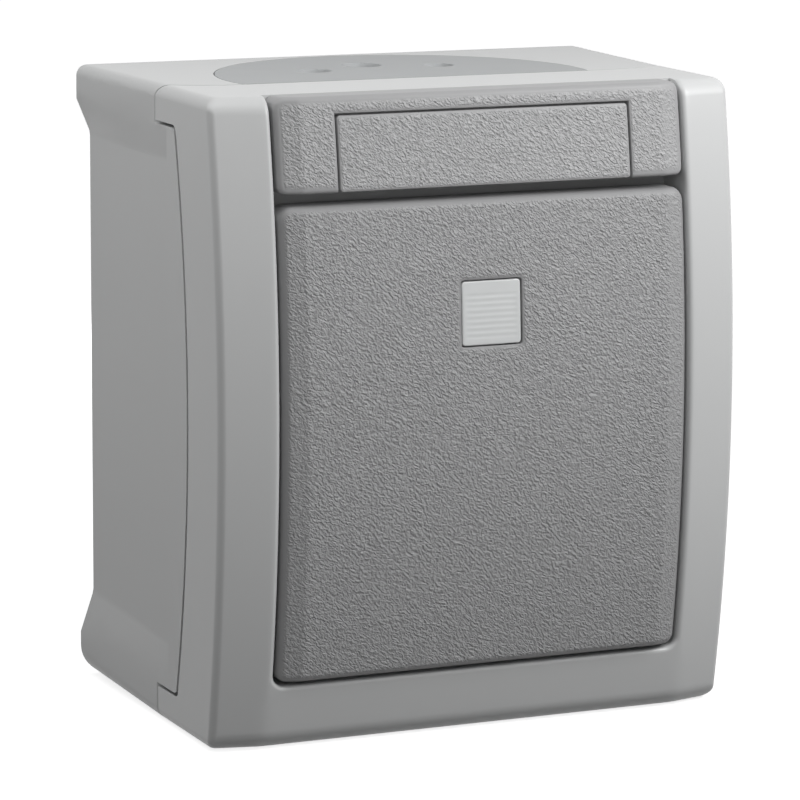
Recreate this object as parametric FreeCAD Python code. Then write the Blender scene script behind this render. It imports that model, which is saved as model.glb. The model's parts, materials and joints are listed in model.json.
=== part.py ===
import FreeCAD, Part
import math
import os

# Millimetres. +Z is up, the front faces -Y, the wall plane is y = 0.
# Depths (names with "depth") are measured from the wall towards the viewer.

V = FreeCAD.Vector

# Outer form
half_width = 33.0
half_height = 37.9
rear_flare = 1.0
rear_half_width = half_width + rear_flare
rear_top_r = 2.4
rear_low_r = 3.8
top_corner_r = 1.5
bottom_corner_r = 1.5
crown_r = 206.4
rim_depth = 46.0
crown_axis_y = crown_r - rim_depth
side_drop = 1.5
top_edge_r = 1.9
bottom_edge_r = 2.2
side_edge_r = 0.8
side_edge_steps = 4
side_edge_turn = math.radians(80)
rim_edge_r = 0.6
rim_top_margin = 0.1
rim_top_z = half_height - top_edge_r - rim_top_margin
proud = 0.87

# Seam between housing and frame
seam_gap = 0.3
skirt_depth = 24.3
seam_lug = 4.2
seam_step_z = half_height - seam_lug
seam_end_depth = 30.65
seam_apex_depth = 34.5
seam_corner_r = 0.8
seam_flat_depth = 28.3
seam_bend_share = 0.65
seam_bend_depth = 27.1

# Waisted side walls of the housing
panel_inset = 0.7
panel_half = half_width - panel_inset
panel_low_margin = 10.5
panel_high_margin = 9.5
panel_low_z = panel_low_margin - half_height
panel_high_z = half_height - panel_high_margin
panel_spread = 1.0
facet_slope = 0.34
facet_slope_front = 0.155
panel_depth = 28.0
panel_blend_r = 3.0
panel_outside = 0.1

# Walls
back_wall = 2.2
frame_wall = 1.9
spigot_gap = 0.3
spigot_wall = 1.6
spigot_half = half_width - frame_wall - spigot_gap
spigot_half_z = half_height - frame_wall - spigot_gap
cavity_half = spigot_half - spigot_wall
cavity_half_z = spigot_half_z - spigot_wall
inner_corner_r = 1.0
spigot_depth = 36.0
gasket_thick = 0.8
gasket_inside = 0.4
floor_depth = spigot_depth + gasket_thick
floor_thick = 1.8
recess_depth = floor_depth + floor_thick

# Opening of the frame
side_border = 6.9
opening_half = half_width - side_border
bottom_border = 7.7
opening_low_z = bottom_border - half_height
opening_corner_r = 1.4
opening_top_r = 1.0
recess_corner_r = 0.4
crest_half = opening_half + rim_edge_r + 0.1
skirt_front_depth = 39.6
notch_overlap = 2.0
border_pocket_end = 6.2
border_pocket_half_z = -opening_low_z - border_pocket_end
border_pocket_side = 2.0
border_pocket_in = opening_half + border_pocket_side
border_pocket_width = 2.0
border_pocket_out = border_pocket_in + border_pocket_width
border_pocket_depth = 42.0

# Rocker
rocker_side_gap = 0.35
rocker_half = opening_half - rocker_side_gap
rocker_low_gap = 0.5
rocker_low_z = opening_low_z + rocker_low_gap
rocker_low_r = 1.3
rocker_high_r = 1.7
rocker_edge_r = 0.9
bevel_width = 2.8
bevel_drop = 0.8
bevel_start = rocker_half - bevel_width
rocker_wall = 2.0
rocker_back_depth = 41.0
pivot_below_floor = 3.3
pivot_depth = floor_depth - pivot_below_floor
rocker_travel = 4.0

# Lens and lamp
lens_size = 7.45
lens_z = 12.43
lens_gap = 0.15
lens_sunk = 0.12
lens_corner_r = 0.4
lens_flange = 9.2
lens_flange_depth = 43.2
lamp_r = 2.4
lamp_top_depth = 40.4
lamp_clear = 0.3

# Label carrier and label
carrier_side_gap = 0.4
carrier_half = opening_half - carrier_side_gap
carrier_height = 10.92
carrier_low_z = half_height - carrier_height
carrier_gap = 1.38
rocker_high_z = carrier_low_z - carrier_gap
carrier_low_r = 1.0
carrier_high_r = 1.3
carrier_edge_r = 0.6
carrier_wall = 2.6
carrier_side = 1.5
carrier_top_wall = 3.4
carrier_inner_top = half_height - carrier_top_wall
carrier_lip_gap = 0.15
label_side = 7.3
label_half = carrier_half - label_side
label_low_inset = 0.12
label_low_z = carrier_low_z + label_low_inset
label_high_inset = 2.22
label_high_z = half_height - label_high_inset
label_gap = 0.25
label_thick = 1.1
label_corner_r = 0.4

# Frame screws
frame_screw_inset = 6.1
frame_screw_x = opening_half - frame_screw_inset
pillar_r = 2.6
pillar_wall_gap = 0.5
frame_screw_top_z = cavity_half_z - pillar_r - pillar_wall_gap
frame_screw_low_inset = 4.2
frame_screw_low_z = opening_low_z + frame_screw_low_inset
frame_screw_r = 1.25
frame_screw_head_r = 2.2
frame_screw_head = 1.4
frame_screw_bite = 9.0
screw_clear = 0.05
hole_clear = 0.25
hole_beyond = 1.0
drive_width = 0.6
drive_deep = 0.7
drive_reach = 0.6

# Wall screw holes
wall_hole_r = 2.2
wall_hole_inset = 7.9
wall_hole_z = half_height - wall_hole_inset
wall_boss_r = 3.9
wall_boss = 1.2
wall_seal_r = 3.7
wall_seal_thick = 1.4

# Cable membrane
membrane_r = 22.7
membrane_back_margin = 1.2
membrane_y = -(membrane_r + membrane_back_margin)
membrane_x = -1.2
seam_flat_margin = 0.3
seam_flat_half = membrane_r + seam_flat_margin
seam_bend_half = seam_flat_half + seam_bend_share * (half_width - seam_flat_half)
membrane_gap = 0.15
membrane_flange = 1.6
membrane_ledge = 2.0
dimple_r = 1.7
dimple_deep = 0.5
dimple_side_x = 9.2
dimple_side_y = -16.2
dimple_mid_y = -13.3

# Bridge and switch base
bridge_depth = 26.0
bridge_thick = 1.2
bridge_half = 13.0
bridge_corner_r = 3.0
bridge_hole_half = 10.0
bridge_hole_z = 8.4
bridge_screw_x = 9.0
bridge_pillar_r = 3.2
bridge_screw_r = 1.5
bridge_screw_head_r = 2.7
bridge_screw_head = 1.6
bridge_screw_bite = 9.0
base_half = 21.0
base_half_z = 15.0
bridge_pillar_gap = 3.3
bridge_screw_z = base_half_z + bridge_pillar_r + bridge_pillar_gap
bridge_screw_margin = 3.5
bridge_half_z = bridge_screw_z + bridge_screw_margin
base_back_depth = 8.0
base_floor = 1.2
base_corner_r = 1.2
well_half = 7.0
well_half_z = 10.5
ear_in = 7.1
ear_out = 9.6
ear_half_z = 3.5
ear_root = 1.0
ear_above_pivot = 2.8
ear_depth = pivot_depth + ear_above_pivot

# Rocker cradle and plunger
trunnion_r = 1.5
trunnion_clear = 0.05
trunnion_half = 9.4
neck_half = 6.5
neck_half_z = 7.0
neck_tail = 12.5
neck_back_depth = pivot_depth - neck_tail
flange_half = 14.0
flange_low_z = -12.0
flange_high_z = 6.4
flange_depth = 42.6
neck_into_flange = 0.9
neck_front_depth = flange_depth + neck_into_flange
bore_r = 2.0
bore_below_pivot = 3.5
bore_end_depth = pivot_depth - bore_below_pivot
piston_r = 1.9
spring_length = 6.0
piston_front_depth = bore_end_depth - spring_length
piston_length = 4.0
piston_back_depth = piston_front_depth - piston_length
tip_r = 1.2
spring_r = 1.35
spring_wire_r = 0.25
spring_turns = 6

# Seal round the neck
seal_thick = 0.8
seal_half = 10.5
seal_low_z = -11.5
seal_high_z = 18.0
seal_neck_gap = 0.45
seal_neck_gap_z = 1.0
seal_lip = 1.0
seal_lip_high = 1.0
seal_hole_r = 0.5
window_half = 8.5
window_low_z = -9.5
window_high_z = 16.0

# Contact lever
lever_pin_depth = 13.0
lever_pin_r = 0.7
lever_pin_clear = 0.05
lever_pin_half = 3.9
lever_half = 2.5
lever_half_z = 9.0
lever_front_depth = 15.0
tip_gap = 0.7
tip_depth = lever_front_depth + tip_gap
lever_thick = 1.0
lever_hub_r = 1.6
lever_travel = 10.0
button_z = 8.0
button_r = 1.0
button_high = 0.5
contact_front_depth = 12.3
contact_thick = 0.8
contact_low = 6.9
contact_high = 9.9
bracket_in = 3.0
bracket_out = 3.8
bracket_half_z = 2.0
bracket_thick = 0.8
bracket_rim = 1.0
bracket_top_depth = lever_pin_depth + bracket_rim
slot_clear = 0.1

# Terminals
terminal_x = 15.5
terminal_half = 3.1
terminal_half_z = 3.0
terminal_z = 8.4
terminal_back_depth = 9.4
terminal_front_depth = 17.5
terminal_gap = 0.1
terminal_screw_r = 1.3
terminal_head_r = 2.3
terminal_head = 1.8
terminal_head_lift = 0.4
terminal_screw_end = 13.8
terminal_thread_spare = 0.2
wire_hole_r = 1.4
wire_hole_depth = 12.2
wire_hole_end_x = 13.4

# Lamp holder
holder_half = 4.5
holder_below_lamp = 3.23
holder_above_lamp = 3.57
holder_low_z = lens_z - holder_below_lamp
holder_high_z = lens_z + holder_above_lamp
holder_depth = 31.0

beyond = 60.0


def block(x0, x1, z0, z1, depth0, depth1):
    return Part.makeBox(x1 - x0, depth1 - depth0, z1 - z0, V(x0, -depth1, z0))


def rod(x, z, depth0, depth1, radius):
    return Part.makeCylinder(radius, depth1 - depth0, V(x, -depth1, z), V(0, 1, 0))


def cross_rod(x0, x1, depth, z, radius):
    return Part.makeCylinder(radius, x1 - x0, V(x0, -depth, z), V(1, 0, 0))


def joined(shapes):
    first = shapes[0]
    return first.fuse(shapes[1:]).removeSplitter()


def outline(half, z0, z1, low_r, high_r, depth):
    corners = []
    corners.append((-half + low_r, z0 + low_r, low_r, 180))
    corners.append((half - low_r, z0 + low_r, low_r, 270))
    corners.append((half - high_r, z1 - high_r, high_r, 0))
    corners.append((-half + high_r, z1 - high_r, high_r, 90))
    arcs = []
    for cx, cz, radius, start in corners:
        points = []
        for turn in (0, 45, 90):
            angle = math.radians(start + turn)
            points.append(V(cx + radius * math.cos(angle), -depth, cz + radius * math.sin(angle)))
        arcs.append(points)
    edges = []
    for index, points in enumerate(arcs):
        edges.append(Part.Arc(*points).toShape())
        edges.append(Part.makeLine(points[2], arcs[(index + 1) % 4][0]))
    return Part.Wire(edges)


def rounded_block(half, z0, z1, low_r, high_r, depth0, depth1):
    face = Part.Face(outline(half, z0, z1, low_r, high_r, depth1))
    return face.extrude(V(0, depth1 - depth0, 0))


def crown(radius):
    # Everything behind the crowned front surface, whose sides slope back past the crest
    rise = half_height + 5.0
    axis = V(0, crown_axis_y, 0)
    edge_y = crown_axis_y - math.sqrt(radius ** 2 - rise ** 2)
    low = V(0, edge_y, -rise)
    high = V(0, edge_y, rise)
    back_low = V(0, -pivot_depth, -rise)
    back_high = V(0, -pivot_depth, rise)
    edges = []
    edges.append(Part.Arc(low, axis + V(0, -radius, 0), high).toShape())
    edges.append(Part.makeLine(high, back_high))
    edges.append(Part.makeLine(back_high, back_low))
    edges.append(Part.makeLine(back_low, low))
    profile = Part.Face(Part.Wire(edges))
    profile.translate(V(-bevel_start, 0, 0))
    parts = [profile.extrude(V(2 * bevel_start, 0, 0))]
    parts.append(profile.extrude(V(-2 * bevel_width, 2 * bevel_drop, 0)))
    profile.translate(V(2 * bevel_start, 0, 0))
    parts.append(profile.extrude(V(2 * bevel_width, 2 * bevel_drop, 0)))
    return joined(parts)


def edge_round(x, radius, z_edge, small_r):
    # Small arc that touches the flat top or bottom and the crowned front
    axis = V(x, crown_axis_y, 0)
    side = math.copysign(1.0, z_edge)
    zc = z_edge - side * small_r
    yc = crown_axis_y - math.sqrt((radius - small_r) ** 2 - zc ** 2)
    centre = V(x, yc, zc)
    out = centre.sub(axis).normalize()
    touch = axis + out * radius
    flat = V(x, yc, z_edge)
    middle = centre + (out + V(0, 0, side)).normalize() * small_r
    return flat, middle, touch


def frame_profile(x):
    axis = V(x, crown_axis_y, 0)
    low = edge_round(x, crown_r, -half_height, bottom_edge_r)
    high = edge_round(x, crown_r, half_height, top_edge_r)
    apex = axis + V(0, -crown_r, 0)
    back_y = -(skirt_depth - 2 * side_drop)
    back_low = V(x, back_y, -half_height)
    back_high = V(x, back_y, half_height)
    edges = []
    edges.append(Part.makeLine(back_low, low[0]))
    edges.append(Part.Arc(low[0], low[1], low[2]).toShape())
    edges.append(Part.Arc(low[2], apex, high[2]).toShape())
    edges.append(Part.Arc(high[2], high[1], high[0]).toShape())
    edges.append(Part.makeLine(high[0], back_high))
    edges.append(Part.makeLine(back_high, back_low))
    return Part.Face(Part.Wire(edges))


def border_path():
    # Half width and setback of the border from the opening to the rounded outer edge
    slope = math.atan(side_drop / (half_width - crest_half))
    start = half_width - side_edge_r + side_edge_r * math.sin(slope)
    level = (start - crest_half) * math.tan(slope) + side_edge_r * math.cos(slope)
    path = [(crest_half, 0.0)]
    for step in range(side_edge_steps + 1):
        turn = slope + (side_edge_turn - slope) * step / side_edge_steps
        across = half_width - side_edge_r + side_edge_r * math.sin(turn)
        path.append((across, level - side_edge_r * math.cos(turn)))
    path.append((half_width + 0.1, path[-1][1] + 0.1 * math.tan(side_edge_turn)))
    return path


def rim_fillet(solid):
    # Rounds the loop of edges where the opening meets the crowned front
    chosen = []
    for edge in solid.Edges:
        inside = True
        for vertex in edge.Vertexes:
            reach = math.hypot(vertex.Y - crown_axis_y, vertex.Z)
            on_crown = abs(reach - crown_r) < 0.01
            in_window = abs(vertex.X) < opening_half + 0.01
            in_height = opening_low_z - 0.01 < vertex.Z < rim_top_z + 0.01
            inside = inside and on_crown and in_window and in_height
        if inside:
            chosen.append(edge)
    return solid.makeFillet(rim_edge_r, chosen)


def seam_prism(step_z, end_depth, apex_depth):
    far = skirt_depth - 5.0
    low_back = V(-2 * half_width, -far, -step_z)
    low_front = V(-2 * half_width, -end_depth, -step_z)
    apex = V(-2 * half_width, -apex_depth, 0)
    high_front = V(-2 * half_width, -end_depth, step_z)
    high_back = V(-2 * half_width, -far, step_z)
    edges = []
    edges.append(Part.makeLine(low_back, low_front))
    edges.append(Part.Arc(low_front, apex, high_front).toShape())
    edges.append(Part.makeLine(high_front, high_back))
    edges.append(Part.makeLine(high_back, low_back))
    prism = Part.Face(Part.Wire(edges)).extrude(V(4 * half_width, 0, 0))
    corners = []
    for edge in prism.Edges:
        box = edge.BoundBox
        if box.XLength > half_width and box.YMax < -far - 1.0:
            corners.append(edge)
    return prism.makeFillet(seam_corner_r, corners)


def corner_seam_prism(setback):
    # Everything behind the seam of the top and bottom walls, which bends back at the corners
    flat_y = setback - seam_flat_depth
    bend_y = setback - seam_bend_depth
    end_y = setback - skirt_depth
    far = 2 * half_width
    edges = []
    edges.append(Part.makeLine(V(-far, 0, -beyond), V(-far, end_y, -beyond)))
    edges.append(Part.makeLine(V(-far, end_y, -beyond), V(-half_width, end_y, -beyond)))
    edges.append(Part.Arc(V(-half_width, end_y, -beyond), V(-seam_bend_half, bend_y, -beyond),
                          V(-seam_flat_half, flat_y, -beyond)).toShape())
    edges.append(Part.makeLine(V(-seam_flat_half, flat_y, -beyond),
                               V(seam_flat_half, flat_y, -beyond)))
    edges.append(Part.Arc(V(seam_flat_half, flat_y, -beyond), V(seam_bend_half, bend_y, -beyond),
                          V(half_width, end_y, -beyond)).toShape())
    edges.append(Part.makeLine(V(half_width, end_y, -beyond), V(far, end_y, -beyond)))
    edges.append(Part.makeLine(V(far, end_y, -beyond), V(far, 0, -beyond)))
    edges.append(Part.makeLine(V(far, 0, -beyond), V(-far, 0, -beyond)))
    return Part.Face(Part.Wire(edges)).extrude(V(0, 0, 2 * beyond))


def side_panel(side):
    # Waisted part of a side wall with a sloping facet above and below
    rings = []
    ends = ((-panel_outside, 0.0, facet_slope, rear_half_width),
            (panel_depth, panel_spread, facet_slope_front, half_width))
    for depth, spread, slope, wall in ends:
        wide = wall + panel_outside
        rise = (wide - panel_half) / slope
        low = panel_low_z - spread
        high = panel_high_z + spread
        points = []
        points.append(V(side * panel_half, -depth, low))
        points.append(V(side * panel_half, -depth, high))
        points.append(V(side * wide, -depth, high + rise))
        points.append(V(side * wide, -depth, low - rise))
        points.append(points[0])
        rings.append(Part.makePolygon(points))
    cutter = Part.makeLoft(rings, True, True)
    folds = []
    for edge in cutter.Edges:
        box = edge.BoundBox
        if abs(abs(box.Center.x) - panel_half) < 0.01 and box.YLength > panel_depth:
            folds.append(edge)
    return cutter.makeFillet(panel_blend_r, folds)


def pillar_places():
    places = []
    for side in (-1, 1):
        places.append((side * frame_screw_x, frame_screw_top_z))
        places.append((side * frame_screw_x, frame_screw_low_z))
    return places


def bridge_screw_places():
    return ((-bridge_screw_x, bridge_screw_z), (bridge_screw_x, -bridge_screw_z))


def membrane_shape(radius, z0, z1, gap):
    disc = Part.makeCylinder(radius, z1 - z0, V(membrane_x, membrane_y, z0))
    behind = block(-2 * half_width, 2 * half_width, z0, z1, 0, seam_flat_depth - seam_gap - gap)
    return disc.common(behind)


def rear_housing():
    rear = outline(rear_half_width, -half_height, half_height, rear_low_r, rear_top_r, 0)
    shell_depth = skirt_depth - seam_gap
    near = outline(half_width, -half_height, half_height, bottom_corner_r, top_corner_r, shell_depth)
    shell = Part.makeLoft([rear, near], True, True)
    flush = rounded_block(half_width, -half_height, half_height, bottom_corner_r, top_corner_r,
                          shell_depth, beyond)
    sides = flush.common(seam_prism(seam_step_z - seam_gap, seam_end_depth - seam_gap,
                                    seam_apex_depth - seam_gap))
    ends = flush.common(corner_seam_prism(seam_gap))
    spigot = rounded_block(spigot_half, -spigot_half_z, spigot_half_z, inner_corner_r,
                           inner_corner_r, back_wall, spigot_depth)
    body = joined([shell, sides, ends, spigot])
    body = body.cut([side_panel(-1), side_panel(1)])
    cavity = rounded_block(cavity_half, -cavity_half_z, cavity_half_z, inner_corner_r,
                           inner_corner_r, back_wall, beyond)
    body = body.cut(cavity)
    added = []
    removed = []
    for x, z in pillar_places():
        added.append(rod(x, z, back_wall, floor_depth, pillar_r))
        hole_depth = recess_depth - frame_screw_bite - hole_beyond
        removed.append(rod(x, z, hole_depth, beyond, frame_screw_r + screw_clear))
    for x, z in bridge_screw_places():
        added.append(rod(x, z, back_wall, bridge_depth, bridge_pillar_r))
        removed.append(rod(x, z, bridge_depth - bridge_screw_bite - hole_beyond, beyond,
                           bridge_screw_r + screw_clear))
    for z in (-wall_hole_z, wall_hole_z):
        added.append(rod(0, z, back_wall, back_wall + wall_boss, wall_boss_r))
        removed.append(rod(0, z, -hole_beyond, beyond, wall_hole_r))
    removed.append(membrane_shape(membrane_r, half_height - membrane_flange,
                                  half_height + hole_beyond, 0))
    through = membrane_shape(membrane_r - membrane_ledge, cavity_half_z - membrane_gap,
                             half_height + hole_beyond, membrane_ledge)
    removed.append(through)
    body = body.fuse(added)
    return body.cut(removed).removeSplitter()


def cable_membrane():
    top = membrane_shape(membrane_r - membrane_gap, half_height - membrane_flange, half_height,
                         membrane_gap)
    plug = membrane_shape(membrane_r - membrane_ledge - membrane_gap, cavity_half_z,
                          half_height - membrane_flange, membrane_ledge + membrane_gap)
    body = joined([top, plug])
    dimples = []
    spots = ((-dimple_side_x, dimple_side_y), (0, dimple_mid_y), (dimple_side_x, dimple_side_y))
    for x, y in spots:
        dimples.append(Part.makeCylinder(dimple_r, 1.0, V(x, y, half_height - dimple_deep)))
    return body.cut(dimples)


def frame_gasket():
    outer = rounded_block(spigot_half, -spigot_half_z, spigot_half_z, inner_corner_r,
                          inner_corner_r, spigot_depth, floor_depth)
    inside_z = cavity_half_z - gasket_inside
    inner = rounded_block(cavity_half - gasket_inside, -inside_z, inside_z, inner_corner_r,
                          inner_corner_r, 0, beyond)
    return outer.cut(inner)


def front_frame():
    middle = frame_profile(-crest_half).extrude(V(2 * crest_half, 0, 0))
    strips = [middle]
    path = border_path()
    for near, far in zip(path, path[1:]):
        for side in (-1, 1):
            strip = frame_profile(side * near[0]).extrude(V(side * (far[0] - near[0]),
                                                            far[1] - near[1], 0))
            strip.translate(V(0, near[1], 0))
            strips.append(strip)
    limits = rounded_block(half_width, -half_height, half_height, bottom_corner_r, top_corner_r,
                           skirt_depth, beyond)
    body = joined(strips).common(limits).removeSplitter().Solids[0]
    opening = rounded_block(opening_half, opening_low_z, rim_top_z, opening_corner_r,
                            opening_top_r, recess_depth, beyond)
    body = rim_fillet(body.cut(opening).Solids[0])
    recess = rounded_block(opening_half, 0, half_height - frame_wall, recess_corner_r,
                           recess_corner_r, recess_depth, beyond)
    top_notch = block(-opening_half, opening_half, rim_top_z - notch_overlap,
                      half_height + hole_beyond, skirt_front_depth, beyond)
    body = body.cut([recess, top_notch])
    removed = []
    removed.append(rounded_block(half_width - frame_wall, -half_height + frame_wall,
                                 half_height - frame_wall, inner_corner_r, inner_corner_r,
                                 0, floor_depth))
    removed.append(seam_prism(seam_step_z, seam_end_depth, seam_apex_depth))
    removed.append(corner_seam_prism(0.0))
    removed.append(block(-window_half, window_half, window_low_z, window_high_z, 0, beyond))
    for side in (-1, 1):
        x = sorted((side * border_pocket_in, side * border_pocket_out))
        removed.append(block(x[0], x[1], -border_pocket_half_z, border_pocket_half_z,
                             0, border_pocket_depth))
    for x, z in pillar_places():
        removed.append(rod(x, z, 0, beyond, frame_screw_r + hole_clear))
    return body.cut(removed)


def slotted_screw(x, z, seat_depth, radius, bite, head_r, head):
    shank = rod(x, z, seat_depth - bite, seat_depth, radius)
    cap = rod(x, z, seat_depth, seat_depth + head, head_r)
    half = drive_width / 2
    reach = head_r * drive_reach
    bottom = seat_depth + head - drive_deep
    upright = block(x - half, x + half, z - reach, z + reach, bottom, beyond)
    level = block(x - reach, x + reach, z - half, z + half, bottom, beyond)
    return shank.fuse(cap).cut([upright, level])


def frame_screws():
    screws = []
    for x, z in pillar_places():
        screws.append(slotted_screw(x, z, recess_depth, frame_screw_r, frame_screw_bite,
                                    frame_screw_head_r, frame_screw_head))
    return Part.makeCompound(screws)


def front_loop(solid, radius):
    # Rounds the loop of edges that borders the crowned front
    chosen = []
    solid = solid.Solids[0]
    for edge in solid.Edges:
        box = edge.BoundBox
        upright = box.YLength > 3.0 and box.XLength < 0.01 and box.ZLength < 0.01
        inner = abs(abs(box.Center.x) - bevel_start) < 0.01 and box.XLength < 0.01
        if box.YMax < -recess_depth - 3.0 and not upright and not inner:
            chosen.append(edge)
    return solid.makeFillet(radius, chosen)


def rocker_plate():
    outer_r = crown_r + proud
    body = rounded_block(rocker_half, rocker_low_z, rocker_high_z, rocker_low_r, rocker_high_r,
                         rocker_back_depth, beyond)
    body = front_loop(body.common(crown(outer_r)), rocker_edge_r)
    inside = rounded_block(rocker_half - rocker_wall, rocker_low_z + rocker_wall,
                           rocker_high_z - rocker_wall, inner_corner_r, inner_corner_r,
                           0, beyond).common(crown(outer_r - rocker_wall))
    hole = lens_size / 2 + lens_gap
    window = rounded_block(hole, lens_z - hole, lens_z + hole, lens_corner_r, lens_corner_r,
                           0, beyond)
    return body.cut([inside, window])


def indicator_lens():
    outer_r = crown_r + proud
    half = lens_size / 2
    block_part = rounded_block(half, lens_z - half, lens_z + half, lens_corner_r, lens_corner_r,
                               lens_flange_depth, beyond)
    pane = block_part.common(crown(outer_r - lens_sunk))
    wide = lens_flange / 2
    flange = rounded_block(wide, lens_z - wide, lens_z + wide, lens_corner_r, lens_corner_r,
                           lens_flange_depth, beyond)
    flange = flange.common(crown(outer_r - rocker_wall))
    return joined([pane, flange])


def about_pivot(shape, depth, degrees):
    turned = shape.copy()
    turned.rotate(V(0, -depth, 0), V(1, 0, 0), degrees)
    return turned


def rocker_cradle():
    # The neck leans half the travel, so that both end positions are alike
    lean = rocker_travel / 2
    neck = block(-neck_half, neck_half, -neck_half_z, neck_half_z, neck_back_depth,
                 neck_front_depth)
    bore = rod(0, 0, 0, bore_end_depth, bore_r)
    neck = about_pivot(neck.cut(bore), pivot_depth, lean)
    flange = block(-flange_half, flange_half, flange_low_z, flange_high_z, flange_depth, beyond)
    flange = flange.common(crown(crown_r + proud - rocker_wall))
    neck = neck.cut(block(-beyond, beyond, -beyond, beyond, neck_front_depth, beyond))
    pin = cross_rod(-trunnion_half, trunnion_half, pivot_depth, 0, trunnion_r)
    return joined([neck, flange, pin])


def plunger():
    piston = rod(0, 0, piston_back_depth, piston_front_depth, piston_r)
    tip = rod(0, 0, tip_depth + tip_r, piston_back_depth, tip_r)
    ball = Part.makeSphere(tip_r, V(0, -(tip_depth + tip_r), 0))
    return about_pivot(joined([piston, tip, ball]), pivot_depth, rocker_travel / 2)


def plunger_spring():
    height = bore_end_depth - piston_front_depth - 2 * spring_wire_r
    helix = Part.makeHelix(height / spring_turns, height, spring_r)
    section = Part.Wire(Part.makeCircle(spring_wire_r, V(spring_r, 0, 0), V(0, 1, 0)))
    coil = Part.Wire(helix).makePipeShell([section], True, True)
    coil.rotate(V(0, 0, 0), V(1, 0, 0), 90)
    coil.translate(V(0, -(piston_front_depth + spring_wire_r), 0))
    return about_pivot(coil, pivot_depth, rocker_travel / 2)


def rocker_seal():
    front = recess_depth + seal_thick
    plate = rounded_block(seal_half, seal_low_z, seal_high_z, inner_corner_r, inner_corner_r,
                          recess_depth, front)
    hole_half = neck_half + seal_neck_gap
    hole_z = neck_half_z + seal_neck_gap_z
    lip = rounded_block(hole_half + seal_lip, -hole_z - seal_lip, hole_z + seal_lip,
                        inner_corner_r, inner_corner_r, recess_depth, front + seal_lip_high)
    neck_hole = rounded_block(hole_half, -hole_z, hole_z, seal_hole_r, seal_hole_r, 0, beyond)
    lamp_hole = rod(0, lens_z, 0, beyond, lamp_r + lamp_clear)
    return joined([plate, lip]).cut([neck_hole, lamp_hole])


def label_carrier():
    outer_r = crown_r + proud
    body = rounded_block(carrier_half, carrier_low_z, half_height, carrier_low_r, carrier_high_r,
                         recess_depth, beyond)
    body = front_loop(body.common(crown(outer_r)), carrier_edge_r)
    skirt = half_height - frame_wall
    removed = []
    removed.append(block(-beyond, beyond, skirt - carrier_lip_gap, beyond, 0,
                         skirt_front_depth + carrier_lip_gap))
    inside = rounded_block(carrier_half - carrier_side, carrier_low_z + carrier_side,
                           carrier_inner_top, inner_corner_r, inner_corner_r, 0, beyond)
    removed.append(inside.common(crown(outer_r - carrier_wall)))
    pocket = rounded_block(label_half + label_gap, 0, label_high_z + label_gap, label_corner_r,
                           label_corner_r, 0, beyond)
    pocket = pocket.cut(crown(outer_r - label_thick))
    removed.append(pocket)
    return body.cut(removed)


def label_plate():
    outer_r = crown_r + proud
    plate = rounded_block(label_half, label_low_z, label_high_z, label_corner_r, label_corner_r,
                          0, beyond)
    return plate.common(crown(outer_r)).cut(crown(outer_r - label_thick))


def wall_screw_seals():
    seat = back_wall + wall_boss
    washers = []
    for side in (-1, 1):
        z = side * wall_hole_z
        ring = rod(0, z, seat, seat + wall_seal_thick, wall_seal_r)
        washers.append(ring.cut(rod(0, z, 0, beyond, wall_hole_r)))
    return Part.makeCompound(washers)


def mounting_bridge():
    plate = rounded_block(bridge_half, -bridge_half_z, bridge_half_z, bridge_corner_r,
                          bridge_corner_r, bridge_depth, bridge_depth + bridge_thick)
    removed = [block(-bridge_hole_half, bridge_hole_half, -bridge_hole_z, bridge_hole_z, 0, beyond)]
    for x, z in bridge_screw_places():
        removed.append(rod(x, z, 0, beyond, bridge_screw_r + hole_clear))
    return plate.cut(removed)


def bridge_screws():
    screws = []
    for x, z in bridge_screw_places():
        screws.append(slotted_screw(x, z, bridge_depth + bridge_thick, bridge_screw_r,
                                    bridge_screw_bite, bridge_screw_head_r, bridge_screw_head))
    return Part.makeCompound(screws)


def terminal_places():
    return {
        "terminal_common": (-terminal_x, 0.0),
        "terminal_lamp": (-terminal_x, terminal_z),
        "terminal_upper": (terminal_x, terminal_z),
        "terminal_lower": (terminal_x, -terminal_z),
    }


def switch_base():
    body = rounded_block(base_half, -base_half_z, base_half_z, base_corner_r, base_corner_r,
                         base_back_depth, bridge_depth)
    floor = base_back_depth + base_floor
    removed = [block(-well_half, well_half, -well_half_z, well_half_z, floor, beyond)]
    pocket = terminal_half + terminal_gap
    pocket_z = terminal_half_z + terminal_gap
    for x, z in terminal_places().values():
        removed.append(block(x - pocket, x + pocket, z - pocket_z, z + pocket_z,
                             terminal_back_depth, beyond))
        wire_x = sorted((x, math.copysign(base_half + hole_beyond, x)))
        removed.append(cross_rod(wire_x[0], wire_x[1], wire_hole_depth, z, wire_hole_r))
    inner_x = terminal_x - terminal_half
    for side in (-1, 1):
        z = sorted((side * contact_low, side * contact_high))
        removed.append(block(0, inner_x, z[0] - slot_clear, z[1] + slot_clear,
                             contact_front_depth - contact_thick, contact_front_depth + slot_clear))
    removed.append(block(-inner_x, 0, -bracket_half_z - slot_clear, bracket_half_z + slot_clear,
                         floor, floor + bracket_thick + slot_clear))
    body = body.cut(removed)
    for side in (-1, 1):
        x = sorted((side * ear_in, side * ear_out))
        ear = block(x[0], x[1], -ear_half_z, ear_half_z, bridge_depth - ear_root, ear_depth)
        body = body.fuse(ear)
    axle_hole = cross_rod(-beyond, beyond, pivot_depth, 0, trunnion_r + trunnion_clear)
    return body.cut(axle_hole)


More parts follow.
